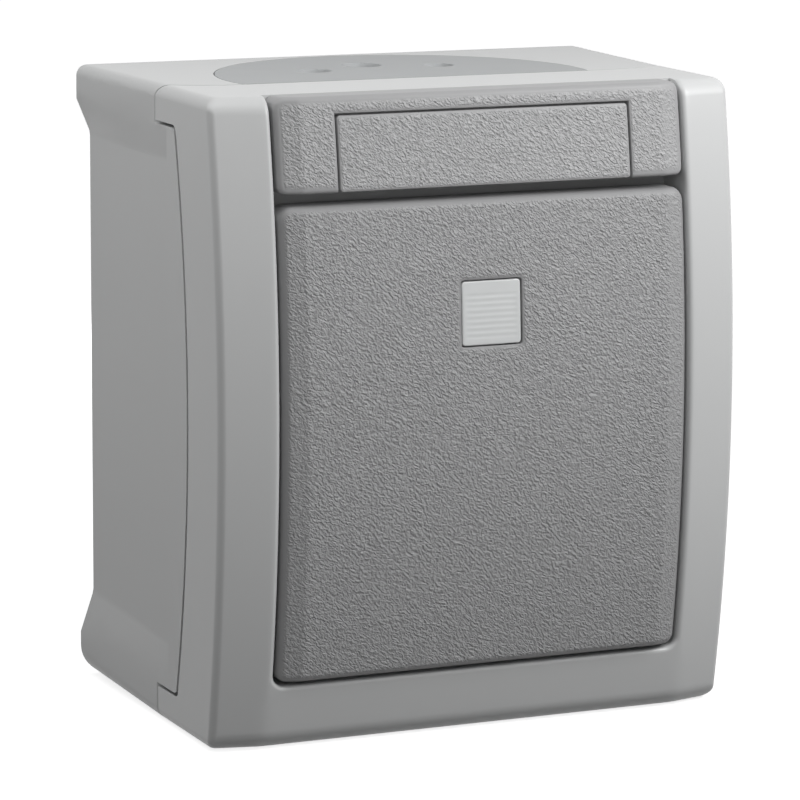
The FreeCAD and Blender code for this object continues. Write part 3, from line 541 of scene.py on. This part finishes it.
def front_frame():
    """Rows run across the border from the opening's rim to the outer edge, and columns follow the
    border down the right side, round the bottom and up the left side. In each corner a row is an
    arc whose radius falls to nothing at the last flat row and grows again in the outer edge."""
    turns = np.linspace(0, math.pi / 2, EDGE_ROWS)
    small = np.cos(turns)
    rim_turns = np.linspace(0, math.pi / 2, RIM_ROWS)
    rim_in = RIM_R * (1 - np.cos(rim_turns))
    rim_fall = RIM_R * (1 - np.sin(rim_turns))
    edge_x = HALF_WIDTH - SIDE_EDGE_R
    edge_low = -HALF_HEIGHT + LOW_EDGE_R
    edge_top = HALF_HEIGHT - TOP_EDGE_R

    # Flat rows between the rim and the outer edge
    first = OPENING_HALF + RIM_R
    flat_x = np.concatenate([[first + 0.1, first + 0.25, first + 0.45, first + 0.7],
                             np.linspace(first + 1.2, edge_x - 0.3, 7), [edge_x]])
    share = (flat_x - first) / (edge_x - first)
    low_first = OPENING_LOW - RIM_R
    flat_z = low_first + share * (edge_low - low_first)
    flat_r = (OPENING_R + RIM_R) * (1 - share)

    x_level = np.concatenate([OPENING_HALF + rim_in, flat_x,
                              HALF_WIDTH - SIDE_EDGE_R * (1 - small[-2::-1])])
    z_level = np.concatenate([OPENING_LOW - rim_in, flat_z,
                              -HALF_HEIGHT + LOW_EDGE_R * (1 - small[-2::-1])])
    radius = np.concatenate([OPENING_R + rim_in, flat_r, LOW_CORNER_R * small[-2::-1]])
    flat = RIM_ROWS + len(flat_x)
    inner_fall = np.concatenate([rim_fall, np.zeros(len(x_level) - RIM_ROWS)])
    fall = np.concatenate([np.zeros(flat), 1 - np.sin(turns)[-2::-1]])
    lift = np.concatenate([np.zeros(flat), small[-2::-1]]) * (TOP_EDGE_R - TOP_CORNER_R)

    # Columns: the side from top to bottom, a corner, and half of the bottom edge
    end_z = np.concatenate([[LUG_Z, SEAM_Z], SEAM_Z - np.array(SEAM_TURN), [SEAM_Z - SEAM_R]])
    side_z = np.concatenate([[HALF_HEIGHT - TOP_CORNER_R], end_z, np.linspace(31.0, -31.0, 32),
                             -end_z[::-1], [-HALF_HEIGHT + LOW_CORNER_R]])
    down = (side_z[0] - side_z) / (side_z[0] - side_z[-1])
    start = edge_top + lift[:, None]
    end = (z_level + radius)[:, None]
    side = (np.broadcast_to(x_level[:, None], (len(x_level), len(down))),
            start + (end - start) * down)
    theta = turns[1:-1]
    corner = ((x_level - radius)[:, None] + radius[:, None] * np.cos(theta),
              (z_level + radius)[:, None] - radius[:, None] * np.sin(theta))
    along = np.concatenate([np.linspace(1, 0.68, 14), np.linspace(0.6, 0, 6)])
    bottom = ((x_level - radius)[:, None] * along,
              np.broadcast_to(z_level[:, None], (len(x_level), len(along))))
    weight = np.concatenate([np.zeros(len(down)), np.sin(theta) ** 2, np.ones(len(along))])
    x = np.concatenate([side[0], corner[0], bottom[0]], 1)
    z = np.concatenate([side[1], corner[1], bottom[1]], 1)
    outer = SIDE_EDGE_R + (LOW_EDGE_R - SIDE_EDGE_R) * weight
    depth = crown(z) - border_drop(x) - inner_fall[:, None] - fall[:, None] * outer

    # Back edge of the outer wall. Of the two equal columns at each end of the side's seam, the
    # outer one ends on the lug and the inner one on the seam.
    lug = 3
    count = x.shape[1]
    column = np.arange(count)
    on_side = (column >= lug) & (column < len(down) - lug)
    back = np.where(on_side, seam_back(z[-1]), corner_seam(x[-1]))

    # The border's upper end: rows as above, steps over the rounded top edge
    keep_x = x_level[:flat]
    stretch_from = OPENING_HALF + 1.0
    reach = edge_x - (TOP_CORNER_R - SIDE_EDGE_R) * small
    scale = (reach - stretch_from) / (edge_x - stretch_from)
    top_x = np.where(keep_x[:, None] > stretch_from,
                     stretch_from + (keep_x[:, None] - stretch_from) * scale, keep_x[:, None])
    top_z = np.broadcast_to(HALF_HEIGHT - TOP_EDGE_R * (1 - small), top_x.shape)
    top_fall = TOP_EDGE_R * (1 - np.sin(turns))
    top_depth = crown(top_z) - border_drop(top_x) - inner_fall[:flat, None] - top_fall

    # Upper corner: arcs from the side to the top that shrink to a point on the last flat row
    corner_turn = np.linspace(0, math.pi / 2, 13)
    arc = TOP_CORNER_R * small[:, None]
    fan_x = HALF_WIDTH - (SIDE_EDGE_R * (1 - small))[:, None] - arc + arc * np.cos(corner_turn)
    fan_z = HALF_HEIGHT - (TOP_EDGE_R * (1 - small))[:, None] - arc + arc * np.sin(corner_turn)
    fan_r = SIDE_EDGE_R + (TOP_EDGE_R - SIDE_EDGE_R) * np.sin(corner_turn) ** 2
    fan_depth = crown(fan_z) - border_drop(fan_x) - (1 - np.sin(turns))[:, None] * fan_r

    def mirrored(grid_x, grid_z, grid_depth):
        return [sheet(place(way * grid_x, grid_z, grid_depth)) for way in (1, -1)]

    sheets = mirrored(x, z, depth) + mirrored(top_x, top_z, top_depth)
    sheets += mirrored(fan_x, fan_z, fan_depth)

    # Outline of the outer wall from the middle of the notch to the middle of the bottom
    notch_x = np.concatenate([np.linspace(0, SEAM_FLAT_HALF, 7), [24.0, 25.0, OPENING_HALF]])
    wall_x = np.concatenate([notch_x, top_x[:, 0], fan_x[0, ::-1], x[-1]])
    wall_z = np.concatenate([np.full(len(notch_x), HALF_HEIGHT), top_z[:, 0], fan_z[0, ::-1],
                             z[-1]])
    wall_front = np.concatenate([np.full(len(notch_x), NOTCH_DEPTH), top_depth[:, 0],
                                 fan_depth[0, ::-1], depth[-1]])
    above = len(wall_x) - count
    wall_back = np.concatenate([corner_seam(wall_x[:above]), back])
    in_x = np.minimum(wall_x, HALF_WIDTH - FRAME_WALL)
    in_z = np.clip(wall_z, -HALF_HEIGHT + FRAME_WALL, HALF_HEIGHT - FRAME_WALL)
    hole_x = np.where(wall_x > 0, WINDOW_HALF, 0)
    hole_z = np.where(wall_z > 0, WINDOW_HIGH, WINDOW_LOW)
    for way in (1, -1):
        sheets.append(rings(place(way * wall_x, wall_z, wall_front),
                            place(way * wall_x, wall_z, wall_back),
                            place(way * in_x, in_z, wall_back),
                            place(way * in_x, in_z, FLOOR_BACK),
                            place(way * hole_x, hole_z, FLOOR_BACK)))

    # Walls of the recess: the notch's lip, the wall behind it, and the wall below the rim
    lip_row = len(turns) - 1
    inner_top = np.full(len(notch_x), HALF_HEIGHT - FRAME_WALL)
    shelf = np.stack([np.full(len(notch_x), HALF_HEIGHT), inner_top])
    rim_x = np.concatenate([top_x[0], x[0]])
    rim_z = np.concatenate([top_z[0], z[0]])
    rim_depth = np.concatenate([top_depth[0], depth[0]])
    order = np.concatenate([np.arange(lip_row + 1), np.arange(lip_row, len(rim_x))])
    floor_line = np.where(np.arange(len(order)) <= lip_row, NOTCH_DEPTH, RECESS_DEPTH)
    base_x = np.concatenate([notch_x, rim_x[lip_row:]])
    base_z = np.concatenate([inner_top, rim_z[lip_row:]])
    corner_x = np.where(base_x > 0, WINDOW_HALF, 0)
    corner_z = np.where(base_z > 0, WINDOW_HIGH, WINDOW_LOW)
    for way in (1, -1):
        sheets.append(sheet(place(way * notch_x, shelf, NOTCH_DEPTH)))
        sheets.append(rings(place(way * notch_x, inner_top, NOTCH_DEPTH),
                            place(way * notch_x, inner_top, RECESS_DEPTH)))
        sheets.append(rings(place(way * rim_x[order], rim_z[order], rim_depth[order]),
                            place(way * rim_x[order], rim_z[order], floor_line)))
        sheets.append(rings(place(way * base_x, base_z, RECESS_DEPTH),
                            place(way * corner_x, corner_z, RECESS_DEPTH),
                            place(way * corner_x, corner_z, FLOOR_BACK)))
    points, marks, polygons = welded(sheets)
    make_piece("frame_moulding", points, polygons, FINISHES["frame_plastic"], "body",
               ["front_frame"])


# Rocker, carrier, label and lens

def side_columns(half, edge_r, bevel):
    """Columns from the outer edge inwards: the rounded edge, the slope and its fold."""
    steps = np.concatenate([edge_steps(edge_r), np.linspace(edge_r + 0.25, bevel - 0.5, 5),
                            bevel + BEVEL_SOFT * np.linspace(-1, 1, 5)])
    return half - steps


def grain_and_painted_shade_mask(x, inset, smooth):
    """Grain begins where the smooth edge ends, and is fainter on the sloping sides. The same mark
    sets painted shade: the lower it is, the darker the colour, so the smooth edge is painted
    darker and the sloping sides a little darker.
    """
    grained = np.clip((inset - smooth) / GRAIN_RAMP, 0, 1)
    faint = 1 - SIDE_FAINT * np.clip((np.abs(x) - BEVEL_START) / BEVEL_SOFT, 0, 1)
    return grained * faint


def rocker_plate():
    """A crowned shell with rounded edges, sloping sides and a square window with a small collar."""
    window = LENS_HALF + LENS_GAP
    hole = window + COLLAR
    near = 1 - SMALL_SQUARE / window
    steps = np.concatenate([[-1, -(1 + near) / 2 - 0.05, -(1 + near) / 2 + 0.04, -near],
                            np.linspace(-0.6, 0.6, 5),
                            [near, (1 + near) / 2 - 0.04, (1 + near) / 2 + 0.05, 1]])
    outer = side_columns(ROCKER_HALF, ROCKER_EDGE_R, BEVEL_WIDTH)
    field = np.linspace(outer[-1] - 1.2, hole + 1.2, 10)
    right = np.concatenate([outer, field])
    xs = np.concatenate([-right, hole * steps, right[::-1]])
    edge = np.concatenate([edge_steps(ROCKER_EDGE_R), [1.2, 1.8, 2.4, BEVEL_WIDTH]])
    low = ROCKER_LOW + edge
    high = ROCKER_HIGH - edge
    zs = np.concatenate([low, np.linspace(low[-1] + 1.3, LENS_Z - hole - 1.0, 26),
                         LENS_Z + hole * steps,
                         np.linspace(LENS_Z + hole + 1.0, high[-1] - 1.2, 4), high[::-1]])
    x, z, inset = rounded_plan(xs, zs, ROCKER_HALF, ROCKER_LOW, ROCKER_HIGH, ROCKER_LOW_R,
                               ROCKER_HIGH_R, BEVEL_WIDTH)
    depth = rocker_front(x, z) - edge_drop(inset, ROCKER_EDGE_R)
    marks = grain_and_painted_shade_mask(x, inset, ROCKER_SMOOTH)
    first_x = int(np.argmin(np.abs(xs + hole)))
    first_z = int(np.argmin(np.abs(zs - (LENS_Z - hole))))
    span = len(steps) - 1
    keep = np.ones((len(zs) - 1, len(xs) - 1), bool)
    keep[first_z:first_z + span, first_x:first_x + span] = False
    in_x = np.clip(x, -ROCKER_HALF + ROCKER_WALL, ROCKER_HALF - ROCKER_WALL)
    in_z = np.clip(z, ROCKER_LOW + ROCKER_WALL, ROCKER_HIGH - ROCKER_WALL)
    in_depth = rocker_front(in_x, in_z) - ROCKER_WALL
    front = place(x, z, depth)
    inside = place(in_x, in_z, in_depth)
    sheets = [sheet(front, marks, keep), sheet(inside, 0, keep)]
    outline = rim_of(front)
    inner = rim_of(inside)
    sheets.append(rings(outline, place(outline[:, 0], outline[:, 2], ROCKER_BACK),
                        place(inner[:, 0], inner[:, 2], ROCKER_BACK), inner))

    # Collar from the square hole of the grid to the rounded window, and the window's wall
    square = rim_of(front[first_z:first_z + span + 1, first_x:first_x + span + 1])
    wx, wz, _ = rounded_plan(window * steps, LENS_Z + window * steps, window, LENS_Z - window,
                             LENS_Z + window, LENS_CORNER_R, LENS_CORNER_R, SMALL_SQUARE)
    ring = rim_of(place(wx, wz, 0))
    share = np.array([0, 0.4, 0.75, 0.834, 0.87, 0.92, 0.96, 1.0])[:, None]
    collar_x = square[:, 0] * (1 - share) + ring[:, 0] * share
    collar_z = square[:, 2] * (1 - share) + ring[:, 2] * share
    gap = COLLAR * (1 - share)
    collar_depth = rocker_front(collar_x, collar_z) - edge_drop(gap, COLLAR_EDGE_R)
    sheets.append(sheet(place(collar_x, collar_z, collar_depth),
                        np.clip((gap - GRAIN_RAMP) / 0.2, 0, 1)))
    wall = np.stack([collar_depth[-1], rocker_front(collar_x[-1], collar_z[-1]) - ROCKER_WALL])
    sheets.append(sheet(place(ring[:, 0], ring[:, 2], wall)))
    sheets.append(rings(place(square[:, 0], square[:, 2],
                              rocker_front(square[:, 0], square[:, 2]) - ROCKER_WALL),
                        place(ring[:, 0], ring[:, 2], wall[1])))
    points, marks, polygons = welded(sheets)
    make_piece("rocker_moulding", points, polygons, FINISHES["rocker_plastic"], "rocker",
               ["rocker_plate"], marks=marks)


def indicator_lens():
    """A milky square pane with rounded edges, set a little below the rocker's skin, with fine
    ribs across its middle: each rib is one wave of a cosine. A flange holds it from behind."""
    low, high = LENS_Z - LENS_HALF, LENS_Z + LENS_HALF
    edge = np.concatenate([edge_steps(LENS_EDGE_R, 5), [0.3, 0.55, SMALL_SQUARE]])
    xs = np.concatenate([-LENS_HALF + edge, np.linspace(-2.4, 2.4, 9), (LENS_HALF - edge)[::-1]])
    rib_top = LENS_Z + RIB_PITCH * RIB_COUNT / 2 - RIB_SHIFT
    rib_low = rib_top - RIB_PITCH * RIB_COUNT
    rows = np.linspace(rib_low, rib_top, RIB_COUNT * RIB_ROWS + 1)
    ends = (low + edge, (high - edge)[::-1])
    zs = np.concatenate([ends[0][ends[0] < rib_low - 0.02], rows,
                         ends[1][ends[1] > rib_top + 0.02]])
    x, z, inset = rounded_plan(xs, zs, LENS_HALF, low, high, LENS_CORNER_R, LENS_CORNER_R,
                               SMALL_SQUARE)
    ribbed = (z > rib_low) & (z < rib_top)
    wave = (1 - np.cos((z - rib_low) / RIB_PITCH * 2 * math.pi)) / 2 * ribbed
    fade = np.clip((inset - 0.45) / 0.3, 0, 1)
    depth = rocker_front(x, z) - LENS_SUNK - edge_drop(inset, LENS_EDGE_R)
    front = place(x, z, depth - RIB_DEEP * wave * fade)
    line = rim_of(front)
    scale = LENS_FLANGE / LENS_HALF
    out_x, out_z = line[:, 0] * scale, LENS_Z + (line[:, 2] - LENS_Z) * scale
    behind = ROCKER_WALL + FLANGE_GAP
    sheets = [sheet(front)]
    sheets.append(rings(line, place(line[:, 0], line[:, 2], rocker_front(0, line[:, 2]) - behind),
                        place(out_x, out_z, rocker_front(0, out_z) - behind),
                        place(out_x, out_z, LENS_BACK)))
    sheets.append(sheet(place(x * scale, LENS_Z + (z - LENS_Z) * scale, LENS_BACK)))
    points, marks, polygons = welded(sheets)
    make_piece("lens_pane", points, polygons, FINISHES["lens_plastic"], "rocker",
               ["indicator_lens"])


def label_carrier():
    """A crowned shell like the rocker's, whose front has a pocket that is open at its lower edge.
    Two equal rows or columns at different depths make each wall of the pocket."""
    pocket_half = LABEL_HALF + LABEL_GAP
    pocket_top = LABEL_HIGH + LABEL_GAP
    lip = np.array([0, 0.02, 0.06, POCKET_EDGE_R])
    outer = side_columns(CARRIER_HALF, CARRIER_EDGE_R, CARRIER_HALF - BEVEL_START)
    right = np.concatenate([outer, [20.6, 19.6, 19.0], (pocket_half + lip)[::-1]])
    middle = np.linspace(-pocket_half, pocket_half, 20)
    xs = np.concatenate([-right, middle, right[::-1]])
    low = CARRIER_LOW + np.concatenate([edge_steps(CARRIER_EDGE_R), [1.2, 1.9]])
    high = HALF_HEIGHT - np.concatenate([edge_steps(CARRIER_EDGE_R), [1.1, 1.5]])
    zs = np.concatenate([low, np.linspace(30.2, 34.6, 5), [35.3, pocket_top],
                         pocket_top + lip, high[::-1]])
    x, z, inset = rounded_plan(xs, zs, CARRIER_HALF, CARRIER_LOW, HALF_HEIGHT, CARRIER_LOW_R,
                               CARRIER_HIGH_R, CARRIER_SQUARE)
    rows = np.arange(len(zs))[:, None]
    columns = np.arange(len(xs))
    last_row = len(low) + 6
    in_pocket = ((rows <= last_row) & (columns >= len(right))
                 & (columns < len(right) + len(middle)))
    beside = np.maximum(np.abs(x) - pocket_half, z - pocket_top)
    skin = rocker_front(x, z)
    depth = np.where(in_pocket, skin - LABEL_THICK,
                     skin - edge_drop(inset, CARRIER_EDGE_R)
                     - edge_drop(np.maximum(beside, 0), POCKET_EDGE_R))
    marks = np.where(in_pocket, 0, grain_and_painted_shade_mask(x, inset, CARRIER_EDGE_R)
                     * np.clip((beside - GRAIN_RAMP) / GRAIN_RAMP, 0, 1))
    in_x = np.clip(x, -CARRIER_HALF + CARRIER_SIDE, CARRIER_HALF - CARRIER_SIDE)
    in_z = np.clip(z, CARRIER_LOW + CARRIER_SIDE, CARRIER_TOP_IN)
    front = place(x, z, depth)
    inside = place(in_x, in_z, rocker_front(in_x, in_z) - CARRIER_WALL)
    line = rim_of(front)
    inner = rim_of(inside)
    back = np.where(line[:, 2] > CARRIER_LIP_Z, CARRIER_LIP_DEPTH, RECESS_DEPTH)
    under = np.minimum(line[:, 2], CARRIER_LIP_Z)
    sheets = [sheet(front, marks), sheet(inside)]
    sheets.append(rings(line, place(line[:, 0], line[:, 2], back),
                        place(line[:, 0], under, back), place(line[:, 0], under, RECESS_DEPTH),
                        place(inner[:, 0], inner[:, 2], RECESS_DEPTH), inner))
    points, marks, polygons = welded(sheets)
    make_piece("label_holder", points, polygons, FINISHES["carrier_plastic"], "body",
               ["label_carrier"], marks=marks)


def label_plate():
    """A crowned plate of one thickness with small rounded edges."""
    edge = np.concatenate([edge_steps(LABEL_EDGE_R, 5), [0.3, 0.5, SMALL_SQUARE]])
    xs = np.concatenate([-LABEL_HALF + edge, np.linspace(-16, 16, 17), (LABEL_HALF - edge)[::-1]])
    zs = np.concatenate([LABEL_LOW + edge, np.linspace(28.9, 34.0, 5),
                         (LABEL_HIGH - edge)[::-1]])
    x, z, inset = rounded_plan(xs, zs, LABEL_HALF, LABEL_LOW, LABEL_HIGH, LABEL_CORNER_R,
                               LABEL_CORNER_R, SMALL_SQUARE)
    skin = rocker_front(x, z)
    front = place(x, z, skin - edge_drop(inset, LABEL_EDGE_R))
    rear = place(x, z, skin - LABEL_THICK + LABEL_PLAY)
    marks = np.clip((inset - 0.2) / GRAIN_RAMP, 0, 1)
    points, marks, polygons = welded([sheet(front, marks), sheet(rear),
                                      rings(rim_of(front), rim_of(rear))])
    make_piece("label_insert", points, polygons, FINISHES["label_plastic"], "body",
               ["label_plate"], marks=marks)


def tighter_rear(points):
    """The upper rear corners a little tighter than in the solid. A point in the corner keeps its
    direction from the corner's centre, and moves out from the arc to a square of the same reach
    with a smaller arc. The upper end of the waist moves up by a height that depends on z alone and
    fades towards the frame."""
    side, depth, z = np.abs(points[:, 0]), -points[:, 1], points[:, 2]
    share = np.clip(depth / SHELL_DEPTH, 0, 1)
    radius = REAR_TOP_R + (TOP_CORNER_R - REAR_TOP_R) * share
    tight = REAR_TIGHT_R + (TOP_CORNER_R - REAR_TIGHT_R) * share
    centre = REAR_HALF + (HALF_WIDTH - REAR_HALF) * share - radius
    across, up = side - centre, z - (HALF_HEIGHT - radius)
    reach = np.maximum(np.hypot(across, up), TINY)
    inner = radius - tight
    lean = inner * (across + up) / reach
    arc = lean + np.sqrt(np.maximum(lean ** 2 - 2 * inner ** 2 + tight ** 2, 0))
    on_arc = np.minimum(across, up) * arc > inner * reach
    goal = np.where(on_arc, arc, radius * reach / np.maximum(np.maximum(across, up), TINY))
    corner = (across > 0) & (up > 0) & (depth < SHELL_DEPTH + 0.01)
    scale = np.where(corner, goal / radius, 1)
    lift = np.interp(z, FLARE_Z, FLARE_LIFT) * (1 - share) * (side > centre) * ~corner
    moved = points.copy()
    moved[:, 0] = np.where(corner, np.sign(points[:, 0]) * (centre + across * scale), points[:, 0])
    moved[:, 2] = np.where(corner, HALF_HEIGHT - radius + up * scale, z + lift)
    return moved


def rear_housing():
    """The housing's own faces with equal corners joined, so that its curves shade evenly."""
    points, polygons = node_points("rear_housing")
    make_piece("housing_moulding", tighter_rear(points), polygons, FINISHES["housing_plastic"],
               "body", ["rear_housing"], smooth=25.0)


def cable_membrane():
    """A disc with one straight edge, in rays from its centre: a ray ends on the circle or on the
    straight edge. Each dimple sinks by a smooth step of the distance in from its rim."""
    bend = math.acos(MEMBRANE_CUT / MEMBRANE_R)
    turn = np.concatenate([np.linspace(-bend, bend, STRAIGHT_RAYS),
                           np.linspace(bend, 2 * math.pi - bend, ROUND_RAYS)[1:]])

    def outline(inset):
        straight = (MEMBRANE_CUT - inset) / np.maximum(np.cos(turn), TINY)
        return np.where(np.cos(turn) > 0, np.minimum(straight, MEMBRANE_R - inset),
                        MEMBRANE_R - inset)

    def ring(reach, z):
        return place(MEMBRANE_X + reach * np.sin(turn), z, MEMBRANE_DEPTH + reach * np.cos(turn))

    top = ring(np.linspace(0, 1, MEMBRANE_RINGS)[:, None] * outline(0), HALF_HEIGHT)
    for x, depth, radius in DIMPLES:
        away = np.hypot(top[..., 0] - x, -top[..., 1] - depth)
        into = np.clip((radius - away) / DIMPLE_SOFT, 0, 1)
        top[..., 2] -= DIMPLE_DEEP * into ** 2 * (3 - 2 * into)
    low = node_points("cable_membrane")[0][:, 2].min()
    flange = HALF_HEIGHT - MEMBRANE_FLANGE
    sheets = [sheet(top), rings(top[-1], ring(outline(0), flange), ring(outline(PLUG_IN), flange),
                                ring(outline(PLUG_IN), low), ring(outline(0) * 0, low))]
    points, marks, polygons = welded(sheets)
    make_piece("membrane_moulding", points, polygons, FINISHES["membrane_rubber"], "body",
               ["cable_membrane"])


front_frame()
rocker_plate()
indicator_lens()
label_carrier()
label_plate()
rear_housing()
cable_membrane()

node_slots = {row["node"]: row["material_slot"] for row in frame["record"]["subparts"]}
for node, thing in frame["nodes"].items():
    for slot in thing.material_slots:
        slot.material = FINISHES[node_slots[node]]


# Floor, light and camera

def pale_floor():
    """A level floor far wider than the object, under its lower edge. The camera and mirror rays see
    it white with the object's soft shadow; to the object it gives back less light."""
    level = -HALF_HEIGHT * MM - FLOOR_GAP
    mesh = bpy.data.meshes.new("floor")
    corners = [(x * FLOOR_HALF, y * FLOOR_HALF, level)
               for x, y in ((-1, -1), (1, -1), (1, 1), (-1, 1))]
    mesh.from_pydata(corners, [], [(0, 1, 2, 3)])
    material, tree = new_material("pale_floor")
    path = add(tree, "LightPath")
    seen = add(tree, "Math", {0: path.outputs["Is Camera Ray"],
                              1: path.outputs["Is Glossy Ray"]}, operation="MAXIMUM")
    dull = add(tree, "BsdfDiffuse", {"Color": linear(FLOOR_BOUNCE)})
    pale = add(tree, "BsdfDiffuse", {"Color": linear(FLOOR_SEEN)})
    coords = add(tree, "TexCoord").outputs["Object"]
    away = add(tree, "VectorMath", {0: coords}, operation="LENGTH")
    glow = add(tree, "MapRange", {"Value": away.outputs["Value"], "From Min": FLOOR_NEAR,
                                  "From Max": FLOOR_FAR, "To Min": FLOOR_LIFT, "To Max": 1.0})
    lift = add(tree, "Emission", {"Color": (1, 1, 1, 1), "Strength": glow.outputs[0]})
    both = add(tree, "AddShader", {0: pale.outputs[0], 1: lift.outputs[0]})
    mixed = add(tree, "MixShader", {0: seen.outputs[0], 1: dull.outputs[0], 2: both.outputs[0]})
    finish_material(tree, mixed)
    mesh.materials.append(material)
    floor = bpy.data.objects.new("floor", mesh)
    scene.collection.objects.link(floor)


def soft_world(level):
    """Even grey light from all round, and plain white where it is seen or mirrored."""
    world = bpy.data.worlds.new("studio")
    scene.world = world
    world.use_nodes = True
    tree = world.node_tree
    tree.nodes.clear()
    path = add(tree, "LightPath")
    seen = add(tree, "Math", {0: path.outputs["Is Camera Ray"],
                              1: path.outputs["Is Glossy Ray"]}, operation="MAXIMUM")
    either = add(tree, "Math", {0: seen.outputs[0], 1: path.outputs["Is Transmission Ray"]},
                 operation="MAXIMUM")
    strength = add(tree, "MapRange", {"Value": either.outputs[0], "To Min": level, "To Max": 1.0})
    sky = add(tree, "Background", {"Color": (1, 1, 1, 1), "Strength": strength.outputs[0]})
    add(tree, "OutputWorld", {"Surface": sky.outputs[0]})


def soft_light(name, azimuth, elevation, distance, size, power):
    """A square soft light that looks at a point inside the object from a direction in degrees."""
    turn, rise = math.radians(azimuth), math.radians(elevation)
    away = Vector((math.sin(turn) * math.cos(rise), -math.cos(turn) * math.cos(rise),
                   math.sin(rise)))
    lamp = bpy.data.lights.new(name, "AREA")
    lamp.size = size
    lamp.energy = power
    thing = bpy.data.objects.new(name, lamp)
    thing.rotation_mode = "QUATERNION"
    thing.rotation_quaternion = away.to_track_quat("Z", "Y")
    thing.location = Vector((0, LIGHT_AIM_Y, 0)) + away * distance
    thing.visible_camera = False
    scene.collection.objects.link(thing)


def photo_camera():
    """The camera looks along the azimuth and elevation of the photograph, with its small roll."""
    azimuth, elevation, roll = (math.radians(angle) for angle in CAMERA_TURN)
    back = np.array([math.sin(azimuth) * math.cos(elevation),
                     -math.cos(azimuth) * math.cos(elevation), math.sin(elevation)])
    right = np.cross(-back, [0, 0, 1])
    right = right / np.linalg.norm(right)
    up = np.cross(right, -back)
    right_rolled = right * math.cos(roll) + up * math.sin(roll)
    up_rolled = up * math.cos(roll) - right * math.sin(roll)
    data = bpy.data.cameras.new("camera")
    data.sensor_width = 36.0
    data.lens = CAMERA_LENS
    data.clip_start = 0.01
    camera = bpy.data.objects.new("camera", data)
    turn = Matrix(np.stack([right_rolled, up_rolled, back], 1).tolist())
    camera.matrix_world = Matrix.Translation(CAMERA_AT) @ turn.to_4x4()
    scene.collection.objects.link(camera)
    scene.camera = camera


pale_floor()
soft_world(WORLD_LEVEL)
for lamp in LAMPS:
    soft_light(*lamp)
photo_camera()
scene.view_settings.view_transform = "Standard"
